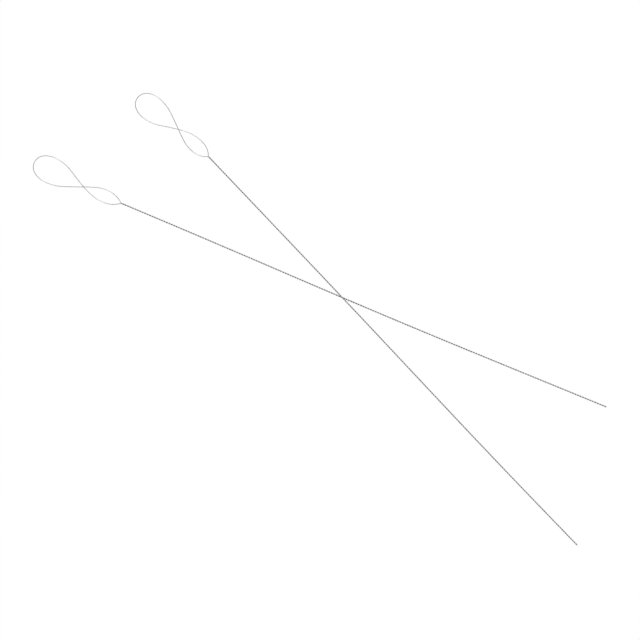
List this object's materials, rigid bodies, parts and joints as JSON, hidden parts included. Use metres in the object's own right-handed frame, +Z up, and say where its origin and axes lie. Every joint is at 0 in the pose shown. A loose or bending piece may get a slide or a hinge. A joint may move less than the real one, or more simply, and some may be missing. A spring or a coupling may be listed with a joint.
{
  "type": "inoculating loop",
  "caption": "Bare wire inoculating loops laid crosswise, each a fine wire bent double with its legs twisted into a long stem and its fold left open as a waist and a bow.",
  "frame": {"origin": "on the bench, under the middle of the box round both loops", "axes": "+X along the pair's longest extent, from the eyes towards the cut ends; +Y across it, towards the eye of the upper loop; +Z up from the bench"},
  "size_m": [0.1836, 0.1448, 0.001],
  "materials": {
    "nichrome_wire": "bare drawn wire, semi-bright"
  },
  "bodies": {
    "lower_loop": {"lower_stem_strand_a": "nichrome_wire", "lower_stem_strand_b": "nichrome_wire", "lower_waist_limb_a": "nichrome_wire", "lower_waist_limb_b": "nichrome_wire", "lower_bow": "nichrome_wire"},
    "upper_loop": {"upper_stem_strand_a": "nichrome_wire", "upper_stem_strand_b": "nichrome_wire", "upper_waist_limb_a": "nichrome_wire", "upper_waist_limb_b": "nichrome_wire", "upper_bow": "nichrome_wire"}
  },
  "joints": [
    {"name": "upper_lift", "type": "slide", "parent": "lower_loop", "child": "upper_loop", "axis": [0, 0, 1], "range_m": [0, 0.03]}
  ]
}
